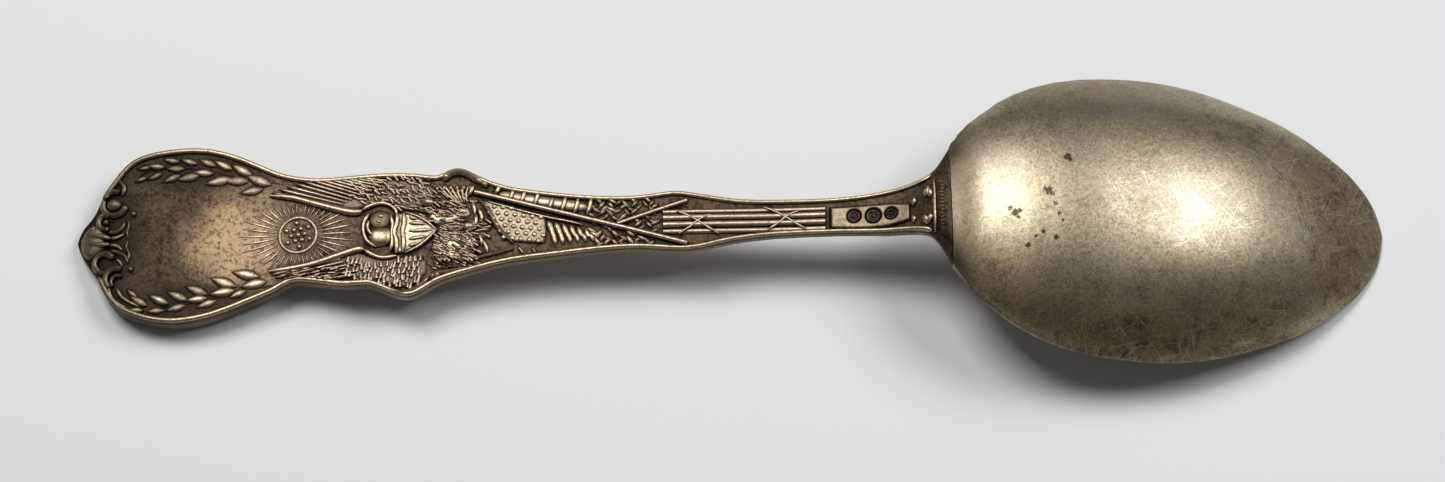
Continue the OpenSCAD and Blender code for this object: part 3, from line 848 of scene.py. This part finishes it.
def make_glory():
    rays = []
    for k in range(RAYS):
        turn = math.radians(360 * k / RAYS)
        reach = 3.6 + 2.9 * abs(math.cos(turn)) ** 2 + 0.4 * (k % 2)
        ends = [(MEDALLION[0] + r * math.cos(turn), MEDALLION[1] + r * math.sin(turn))
            for r in (RAY_START, reach)]
        rays.append(ridge(ends, 0.15, 0.1, 0.75, 6, lift=0.03))
    lay(rays, "glory_ray_lines", "glory_rays", sink=0.0, wear=2.4)
    lay([ridge(arc(MEDALLION, 2.12, 0, 360, 40), 0.27, height=0.75, taper=False)], "medallion_rim",
        "medallion_ring", wear=1.2)
    beads = [bead(*MEDALLION, 0, (0.36, 0.36, 0.34))]
    for k in range(6):
        for radius, offset in ((0.78, 0), (1.45, 30)):
            turn = math.radians(60 * k + offset + 8)
            beads.append(bead(MEDALLION[0] + radius * math.cos(turn),
                    MEDALLION[1] + radius * math.sin(turn), 0, (0.33, 0.33, 0.34)))
    lay(beads, "medallion_stars", "medallion_beads", wear=1.8)


def feathers(roots, tips, width, height, lift):
    """Long feathers from root to tip, side by side."""
    made = []
    for (x0, y0), (x1, y1) in zip(roots, tips):
        turn = math.degrees(math.atan2(y1 - y0, x1 - x0))
        size = (math.hypot(x1 - x0, y1 - y0), width, height * rng.uniform(0.85, 1.1))
        made.append(stamp(feather_master, x0, y0, turn, size, lift))
    return made


def tufts(places, turn, spread, length, width, height, lift):
    """Short feathers at places, each turned a little its own way."""
    made = []
    for x, y in places:
        x, y = x + rng.uniform(-0.2, 0.2), y + rng.uniform(-0.16, 0.16)
        direction = turn + rng.uniform(-spread, spread)
        size = (length * rng.uniform(0.8, 1.2), width * rng.uniform(0.85, 1.15),
            height * rng.uniform(0.7, 1.2))
        made.append(stamp(feather_master, x, y, direction, size, lift))
    return made


def brickwork(x_from, x_to, x_step, y_from, y_to, y_step, keep):
    """Places in rows, every other row moved by half a step, where keep(x, y) holds."""
    places = []
    rows = int(abs(y_to - y_from) / y_step) + 1
    for row in range(rows):
        y = y_from + math.copysign(y_step, y_to - y_from) * row
        x = x_from + (x_step / 2 if row % 2 else 0)
        while x <= x_to:
            if keep(x, y):
                places.append((x, y))
            x += x_step
    return places


def make_wings():
    edge = [(-52.8, 4.95), (-50.2, 4.6), (-47.6, 3.75), (-45, 2.9), (-43, 2.4), (-42.1, 2.6)]
    round_head = [(-42.1, 2.6), (-41.2, 3.1), (-40.1, 3.4), (-39, 3.2), (-38.2, 2.5), (-38.1, 1.7)]
    bed = cushion([(-52.3, 5.0), (-50, 4.5), (-46, 3.2), (-43, 2.6), (-41.4, 3.1), (-40, 3.4),
            (-38.4, 3.0), (-36.2, 2.2), (-34, 3.2), (-33.6, 5.2), (-36, 6.3), (-40, 6.5),
            (-46, 6.3), (-50, 6.0)], 0.2, 0.5)
    tips = [(-52.6, 5.35), (-51.9, 5.75), (-50.9, 6.05), (-49.9, 6.3), (-48.9, 6.45), (-47.9, 6.55),
        (-46.9, 6.55), (-45.9, 6.55), (-44.9, 6.55), (-43.9, 6.5), (-42.9, 6.5), (-41.9, 6.5)]
    roots = [(-44.8 + 0.5 * k, 3.2 + 0.27 * k) for k in range(len(tips))]
    parts = [bed, ridge(edge, 0.3, 0.46, 0.85, lift=0.3), ridge(round_head, 0.26, 0.22, 1.0,
            lift=0.3)]
    parts += feathers(roots, tips, 0.56, 0.34, 0.16)
    parts += tufts(brickwork(-42.8, -33.9, 0.72, 3.3, 6.1, 0.55,
            lambda x, y: y > 3.1 + 0.35 * max(-41 - x, 0) or x > -38.2),
        150, 30, 0.85, 0.56, 0.27, 0.18)
    parts += tufts(brickwork(-37.6, -33.8, 0.7, 2.5, 3.2, 0.5, lambda x, y: True), 160, 25, 0.85,
        0.56, 0.28, 0.16)
    parts.append(bead(-34.5, 3.35, -10, (0.85, 0.6, 0.75)))
    lay(parts, "wing_upper_feathers", "wing_upper", margin=0.35, wear=0.75)

    edge = [(-52.6, -4.3), (-50.2, -4.05), (-47.5, -3.6), (-44.8, -2.8), (-42.6, -2.15),
        (-41.7, -2.15)]
    round_head = [(-41.7, -2.15), (-40.9, -2.75), (-39.8, -3.2), (-38.8, -3.2), (-38, -3.0)]
    bed = cushion([(-52.4, -4.5), (-48, -3.9), (-44.5, -2.9), (-42.3, -2.3), (-40.6, -3),
            (-39, -3.2), (-36.5, -2.9), (-34.4, -3.6), (-34.4, -5.2), (-35.8, -6.6), (-37.4, -7.0),
            (-39.6, -6.3), (-42, -5.7), (-46, -5.5), (-50, -5.4)], 0.2, 0.5)
    tips = [(-52.4, -4.75), (-51.9, -5.1), (-50.9, -5.35), (-49.4, -5.5), (-47.9, -5.5),
        (-46.4, -5.55)]
    roots = [(-44.4 + 0.35 * k, -3.15 - 0.4 * k) for k in range(len(tips))]
    parts = [bed, ridge(edge, 0.32, 0.44, 0.85, lift=0.3), ridge(round_head, 0.28, 0.24, 1.0,
            lift=0.3)]
    parts += feathers(roots, tips, 0.62, 0.34, 0.16)
    parts += tufts(brickwork(-50.2, -43.6, 0.8, -4.3, -5.3, 0.45,
            lambda x, y: y < -3.2 + 0.2 * (x + 44)),
        195, 14, 0.9, 0.34, 0.3, 0.42)
    parts += tufts(brickwork(-43.6, -35, 0.6, -3.05, -6.7, 0.62,
            lambda x, y: y > -5.4 - 0.3 * max(x + 43, 0) and (x < -41.4 or x > -38 or y < -3.3)),
        262, 14, 0.85, 0.58, 0.28, 0.18)
    lay(parts, "wing_lower_feathers", "wing_lower", margin=0.35, wear=0.75)


def make_head():
    drum = cushion([(-41.1, 0.3), (-40.2, 0.5), (-39.1, 0.5), (-38.5, 0.3), (-38.4, -0.6),
            (-38.5, -1.5), (-39.2, -1.85), (-40.2, -1.95), (-41.1, -1.6), (-41.4, -0.7)], 0.75,
        0.95)
    parts = [drum, bead(-39.95, 1.45, 0, (1.45, 1.25, 0.17)),
        bead(-39.9, 1.9, 0, (0.5, 0.36, 0.28)),
        bead(-40.1, 1.25, 0, (0.4, 0.3, 0.26)),
        ridge([(-41.3, 2.1), (-41.8, 1.1), (-41.8, -0.1), (-41.3, -1.2), (-40.3, -1.9)], 0.26, 0.22,
            1.0, lift=0.3),
        ridge([(-41.2, 1.2), (-41.35, 0.4), (-41.0, -0.3), (-40.6, -0.6)], 0.2, 0.16, 1.0,
            lift=0.6),
        ridge([(-38.75, 1.9), (-38.5, 0.8), (-38.55, -0.3), (-38.5, -1.5), (-38.7, -2.5)], 0.26,
            0.26, 1.0, lift=0.4)]
    lay(parts, "eagle_head_and_neck", "eagle_head")


def make_shield():
    plate = cushion([(-38.3, 2.1), (-37.2, 2.2), (-36.2, 2.0), (-35, 1.3), (-34.1, 0.6),
            (-33.4, -0.1), (-34.1, -0.9), (-35, -1.7), (-36.2, -2.4), (-37.2, -2.8), (-38.3, -2.8),
            (-38.1, -1.4), (-38.5, -0.2), (-38.1, 1)], 0.45, 0.35)
    bars = [ridge([(-38.0, 2.1), (-38.0, 0.9), (-38.3, -0.2), (-38.0, -1.4), (-38.0, -2.8)], 0.3,
            height=0.9, lift=0.48),
        ridge([(-37.25, 2.1), (-37.2, 0.9), (-37.35, -0.2), (-37.2, -1.4), (-37.25, -2.7)], 0.3,
            height=0.9, lift=0.48)]
    for start, y0, y1, end in ((-36.6, 1.5, 1.3, -35.7), (-36.6, 0.8, 0.65, -34.6),
            (-36.6, -0.15, -0.1, -33.9), (-36.6, -1.15, -0.85, -34.6), (-36.6, -1.95, -1.7, -35.6)):
        bars.append(ridge([(start, y0), ((start + end) / 2, (y0 + y1) / 2), (end, y1)], 0.27, 0.2,
                0.9, lift=0.45))
    bars += [ridge([(-37, 2.15), (-35.5, 1.55), (-34.4, 0.8), (-33.5, -0.1)], 0.16, lift=0.42),
        ridge([(-37, -2.75), (-35.5, -2.0), (-34.4, -1.1), (-33.5, -0.1)], 0.16, lift=0.42)]
    lay([plate] + bars, "shield_with_stripes", "shield")


def make_body():
    parts = [cushion([(-33.3, 0.4), (-34.6, 1.5), (-33.8, 2.6), (-31.8, 2.9), (-29.8, 2.6),
                (-29.6, 1.6), (-31.4, 0.9)], 0.3, 0.5),
        cushion([(-33.2, -0.4), (-31.6, 0.1), (-29.8, -0.4), (-28.8, -1.8), (-29.2, -3.4),
                (-31, -3.9), (-33.4, -3.5), (-34.2, -2.2)], 0.35, 0.6),
        cushion([(-33.3, 0.9), (-30, 1.4), (-28, 1.0), (-27.6, -1.2), (-29, -1.6), (-33.3, -0.9)],
            0.15, 0.4),
        bead(-29.9, 0.3, 0, (0.75, 0.6, 0.6))]
    parts += tufts(brickwork(-33.0, -27.9, 0.62, 0.95, -0.75, 0.4, lambda x, y: True), -8, 35, 0.85,
        0.46, 0.34, 0.14)
    parts += tufts(brickwork(-34.8, -29.8, 0.6, 1.0, 2.6, 0.4,
            lambda x, y: y > 0.2 * (x + 34) + 0.6),
        165, 30, 0.85, 0.46, 0.34, 0.26)
    parts += tufts(brickwork(-33.9, -29.2, 0.62, -0.5, -3.7, 0.42,
            lambda x, y: y > -3.9 or x > -33),
        -28, 18, 0.95, 0.48, 0.34, 0.28)
    parts += tufts(brickwork(-34.6, -28.7, 0.75, 2.9, 4.4, 0.5, lambda x, y: x < -30 or y < 3.5),
        160, 30, 0.9, 0.46, 0.3, 0.06)
    parts += tufts(brickwork(-34.4, -28.4, 0.7, -3.9, -4.8, 0.45,
            lambda x, y: y > -4.9 + 0.1 * (x + 28)),
        -25, 20, 0.8, 0.4, 0.3, 0.06)
    for x, y, lean in ((-29.3, 2.4, 0.15), (-28.5, 1.6, 0.2), (-29.1, 0.9, -0.1),
            (-28.5, -1.3, 0.2), (-27.9, -2.2, 0.3)):
        parts.append(ridge([(x - lean, y + 0.8), (x + 0.1, y), (x + lean, y - 0.8)], 0.3, 0.22, 1.0,
                lift=0.12))
    lay(parts, "eagle_body_and_tail", "eagle_body", margin=0.35, wear=1.15)


def make_scrolls():
    upper = [ridge([(-32.8, 5.95), (-32.2, 6.7), (-31.2, 7.0), (-30.2, 6.75), (-29.2, 6.1),
                (-28.3, 5.5)],
            0.5, 0.42, 1.2, lift=0.12),
        bead(-32.5, 6.35, 0, (0.42, 0.5, 0.85)),
        bead(-28.1, 5.3, -35, (0.5, 0.36, 0.75))]
    for k in range(6):
        upper.append(ridge([(-33.4 + 0.7 * k, 5.5 - 0.02 * k), (-32.4 + 0.45 * k, 4.3),
                    (-31.0 + 0.18 * k, 3.1)],
                0.24, 0.14, 1.1, lift=0.08))
        upper.append(bead(-33.5 + 0.76 * k, 5.0, 70, (0.42, 0.24, 0.42)))
    lay(upper, "c_scroll_and_ribs_upper", "c_scroll_upper", margin=0.05)
    lower = [ridge([(-40.2, -6.6), (-38.9, -7.1), (-37.4, -7.5), (-36, -7.2), (-35, -6.5),
                (-34.3, -5.7)],
            0.34, 0.3, 1.2, lift=0.1),
        ridge([(-33.9, -6.0), (-33.6, -5.4), (-32.8, -5.2), (-31.2, -4.95), (-29.2, -4.6)], 0.4,
            0.2, 1.2, lift=0.1),
        bead(-33.3, -5.5, 0, (0.42, 0.42, 0.75))]
    lay(lower, "c_scroll_lower_edge", "c_scroll_lower", margin=0.05)


def make_flags():
    lay([ridge([(-29.2, 4.4), (-17, 0.9), (-5, -2.6)], 0.29, height=0.9, lift=0.45, taper=False)],
        "pole_long", "flag_pole_long")
    lay([ridge([(-12.9, 0.0), (-9, 1.3), (-5, 2.6)], 0.25, height=0.9, lift=0.3, taper=False)],
        "pole_short", "flag_pole_short")
    lay([ridge([(-28.8, -3.55), (-26.8, -3.1), (-24.7, -2.55)], 0.18, height=1.2, lift=0.2,
                taper=False)],
        "pole_stub", "flag_pole_stub")
    field = cushion([(-28.8, 3.7), (-27.7, 2.3), (-26.9, 0.6), (-26, -0.7), (-24.9, -1.8),
            (-23, -2.0), (-21.1, -2.1), (-20.9, -0.6), (-21, 1.1), (-23, 1.8), (-26, 2.8)], 0.32,
        0.4)
    stars = []
    for row in range(6):
        for k in range(7):
            x = -27.9 + 0.98 * k + 0.42 * row
            y = 2.7 - 0.78 * row - 0.14 * k
            if x < -21.2 and y < 0.35 - 0.335 * (x + 19):
                stars.append(bead(x, y, 0, (0.3, 0.3, 0.17), 0.3))
    hem = [ridge([(-28.8, 3.7), (-27.6, 2.2), (-26.8, 0.5), (-25.9, -0.7), (-24.7, -1.9)], 0.22,
            0.2, 1.2, lift=0.25),
        ridge([(-27.6, 3.2), (-24, 2.0), (-21, 1.1), (-18.5, 0.5), (-16.8, 0.0)], 0.16, 0.14, 1.1,
            lift=0.3)]
    lay([field] + stars + hem, "flag_with_stars", "star_flag", margin=0.4, wear=0.68)
    folds = []
    for k in range(6):
        x, top = -20.8 + 0.85 * k, 0.75 - 0.2 * k
        folds.append(ridge([(x, top), (x + 0.35, top - 1.0), (x + 0.75, -1.5 + 0.03 * k),
                    (x + 0.9, -2.3 + 0.05 * k)],
                0.46 - 0.02 * k, 0.3, 1.0, lift=0.02))
    folds += [ridge([(-24.2, -2.3), (-23.8, -2.8), (-23.5, -3.3)], 0.26, 0.2, 1.1),
        ridge([(-22.6, -2.4), (-22.3, -2.9), (-22.1, -3.2)], 0.22, 0.16, 1.1)]
    lay(folds, "flag_fold_ridges", "flag_folds", margin=0.4)
    wraps = [ridge([(-27.4, 4.3), (-23, 3.35), (-19, 2.6), (-15.6, 2.1)], 0.85, 0.8, 0.5,
            lift=-0.05)]
    for x, y, half in ((-29.6, 4.6, 0.45), (-26.6, 4.55, 0.4), (-25, 3.85, 0.55), (-23.7, 3.6, 0.6),
            (-22.15, 3.3, 0.7), (-20.5, 2.7, 0.55), (-19.05, 2.55, 0.7), (-17.6, 2.3, 0.7),
            (-16.1, 2.2, 0.75)):
        wraps.append(ridge([(x + 0.25, y + half * 1.35), (x + 0.05, y),
                    (x - 0.25, y - half * 1.35)],
                0.3, 0.28, 1.1, lift=0.3))
    lay(wraps, "furled_flag_wraps", "furled_flag", margin=0.35)


def make_foliage():
    """Small leaves that fill the corners between the crossed poles and the edges."""
    def pole_long(x):
        return 4.4 - 0.289 * (x + 29.2)

    def pole_short(x):
        return 0.329 * (x + 12.9)

    def above(x, y):
        return y > max(pole_long(x), pole_short(x)) + 0.35

    def below(x, y):
        return y < pole_long(x) - 0.35 or pole_long(x) + 0.3 < y < pole_short(x) - 0.3

    for name, keep, y_from, y_to in (("foliage_upper", above, 2.9, 0.0),
            ("foliage_lower", below, 0.9, -3.0)):
        rows = []
        for k, (x, y) in enumerate(brickwork(-15.2, -7.8, 0.95, y_from, y_to, 0.5, keep)):
            turn = 180 + (42 if k % 2 else -42) + rng.uniform(-16, 16)
            rows.append((x + rng.uniform(-0.15, 0.15), y, turn, rng.uniform(1.0, 1.5)))
        lay(leaves(rows, 0.36), name + "_sprigs", name, margin=0.35, wear=0.7)


def make_fasces():
    rods = [ridge([(-7.7, y), (1.5, y), (10.6, y)], radius, height=1.1, lift=lift, taper=False)
        for y, radius, lift in ((1.25, 0.36, 0.0), (0.52, 0.44, 0.1), (-0.3, 0.44, 0.1),
            (-1.1, 0.38, 0.0))]
    lay(rods, "fasces_rod_bundle", "fasces_rods")
    straps = []
    for x, y in ((-3.8, 0.05), (6.15, 0.3)):
        straps.append(ridge([(x - 2.4, y + 1.25), (x - 0.9, y + 0.55), (x, y), (x + 1.1, y - 0.75),
                    (x + 2.4, y - 1.6)],
                0.15, lift=0.5))
        straps.append(ridge([(x + 1.5, y + 0.75), (x + 0.6, y + 0.35), (x, y), (x - 0.9, y - 0.75),
                    (x - 2.1, y - 1.5)],
                0.15, lift=0.5))
    lay(straps, "fasces_strap_crossings", "fasces_straps")


# Sunk round marks on the panel: place and radius in mm
PUNCHES = ((13.85, 0.1, 0.9), (16.0, 0.0, 1.0), (18.0, 0.05, 0.8))
PUNCH_DEPTH = 0.3
PANEL_FROM, PANEL_LENGTH, PANEL_HEIGHT = 11.05, 9.1, 0.45


def make_panel():
    """Smooth bevelled panel with three sunk round marks that carry plain geometric patterns."""
    deselect()
    bpy.ops.mesh.primitive_grid_add(x_subdivisions=110, y_subdivisions=36, size=2)
    panel = named("panel")
    for v in panel.data.vertices:
        t, a = (v.co.x + 1) / 2, v.co.y
        x = PANEL_FROM + PANEL_LENGTH * t
        half_up = 1.45 * (1 - 0.35 * max(t - 0.7, 0) / 0.3)
        half_down = 1.3 + 0.35 * min(t * 2.5, 1) - 0.55 * max(t - 0.7, 0) / 0.3
        y = a * (half_up if a > 0 else half_down)
        edge = min((1 - abs(a)) * 1.6, t * 9, (1 - t) * 12, 0.42) / 0.42
        z = PANEL_HEIGHT * math.sin(min(edge, 1) * math.pi / 2)
        for cx, cy, radius in PUNCHES:
            r = math.hypot(x - cx, y - cy) / radius
            if r < 1:
                ring = math.cos(r * 9) > 0.3 and r < 0.75
                z -= PUNCH_DEPTH * min((1 - r) * 6, 1) * (0.45 if ring else 1)
        v.co = (x, y, z)
    lay([panel], "maker_panel", "mark_panel", sink=0.02, angle=75, wear=0.42)


def make_neck():
    curls = []
    for x, y, turn, length in ((20.4, 0.55, 80, 1.2), (21.7, 1.3, 70, 1.6), (22.4, 1.2, 105, 1.5),
            (20.4, -0.45, -85, 1.1), (21.6, -0.7, -75, 1.3), (22.4, -0.7, -110, 1.4)):
        curls.append(stamp(leaf_master, x, y, turn, (length, length * 0.55, 0.6)))
    lay(curls, "neck_leaf_curls", "neck_leaves")
    lay([ridge([(22.8, 3.3), (22.75, 0), (22.8, -2.9)], 0.2, height=1.4, lift=0.15)],
        "neck_joint_bar", "neck_bar")
    hatch = [ridge([(23.2, -2.6 + 0.42 * k), (23.95, -2.6 + 0.42 * k)], 0.13, sides=6, height=1.2,
            lift=0.04)
        for k in range(14)]
    lay(hatch, "neck_band_hatching", "neck_band")


# ---------- Stage ----------

def make_floor():
    deselect()
    bpy.ops.mesh.primitive_plane_add(size=3, location=(0, 0, 0))
    floor = named("floor")
    material = bpy.data.materials.new("pale_floor")
    material.use_nodes = True
    shader = material.node_tree.nodes["Principled BSDF"]
    shader.inputs["Base Color"].default_value = (0.8, 0.8, 0.8, 1)
    shader.inputs["Roughness"].default_value = 0.9
    floor.data.materials.append(material)


# Soft lights: name, place, what it faces, size, power and colour
WINDOWS = (("window", (-0.19, 0.25, 0.6), (0, 0, 0), (0.3, 0.28), 2.87, (1, 0.995, 0.985)),
    ("second_window", (0.44, 0.22, 0.55), (0.03, 0, 0), (0.36, 0.3), 2.6, (0.98, 0.995, 1)))
SKY_COLOUR = (0.92, 0.96, 1, 1)
SKY_STRENGTH = 0.08


def softbox(name, place, target, size, power, colour):
    lamp = bpy.data.lights.new(name, "AREA")
    lamp.shape = "RECTANGLE"
    lamp.size, lamp.size_y = size
    lamp.energy = power
    lamp.color = colour
    thing = bpy.data.objects.new(name, lamp)
    bpy.context.scene.collection.objects.link(thing)
    thing.location = place
    thing.rotation_euler = (Vector(target) - Vector(place)).to_track_quat("-Z", "Y").to_euler()


def make_stage():
    make_floor()
    for window in WINDOWS:
        softbox(*window)
    world = bpy.data.worlds.new("studio")
    world.use_nodes = True
    sky = world.node_tree.nodes["Background"]
    sky.inputs["Color"].default_value = SKY_COLOUR
    sky.inputs["Strength"].default_value = SKY_STRENGTH
    bpy.context.scene.world = world
    bpy.context.scene.view_settings.view_transform = "Standard"


ELEVATION = 69    # degrees above the table
CAMERA_ROLL = -0.41
LENS = 90
SENSOR_WIDTH = 36
VIEW_WIDTH = 165.6 * MM
LOOK_AT = Vector((-1.0, -0.4, 1.5)) * MM


def make_camera():
    data = bpy.data.cameras.new("camera")
    data.lens = LENS
    data.clip_start = 0.01
    camera = bpy.data.objects.new("camera", data)
    bpy.context.scene.collection.objects.link(camera)
    distance = VIEW_WIDTH * LENS / SENSOR_WIDTH
    tilt = math.radians(ELEVATION)
    camera.location = LOOK_AT + distance * Vector((0, -math.cos(tilt), math.sin(tilt)))
    look = (LOOK_AT - camera.location).to_track_quat("-Z", "Y").to_matrix().to_4x4()
    camera.rotation_euler = (look @ Matrix.Rotation(math.radians(CAMERA_ROLL), 4, "Z")).to_euler()
    bpy.context.scene.camera = camera


MAKERS = (make_camera, make_stage, make_handle, make_bowl, make_borders, make_crest, make_laurels,
    make_glory, make_wings, make_head, make_shield, make_body, make_scrolls, make_flags,
    make_foliage, make_fasces, make_panel, make_neck)
for make in MAKERS:
    make()
for master in (leaf_master, feather_master, bead_master):
    bpy.data.objects.remove(master)
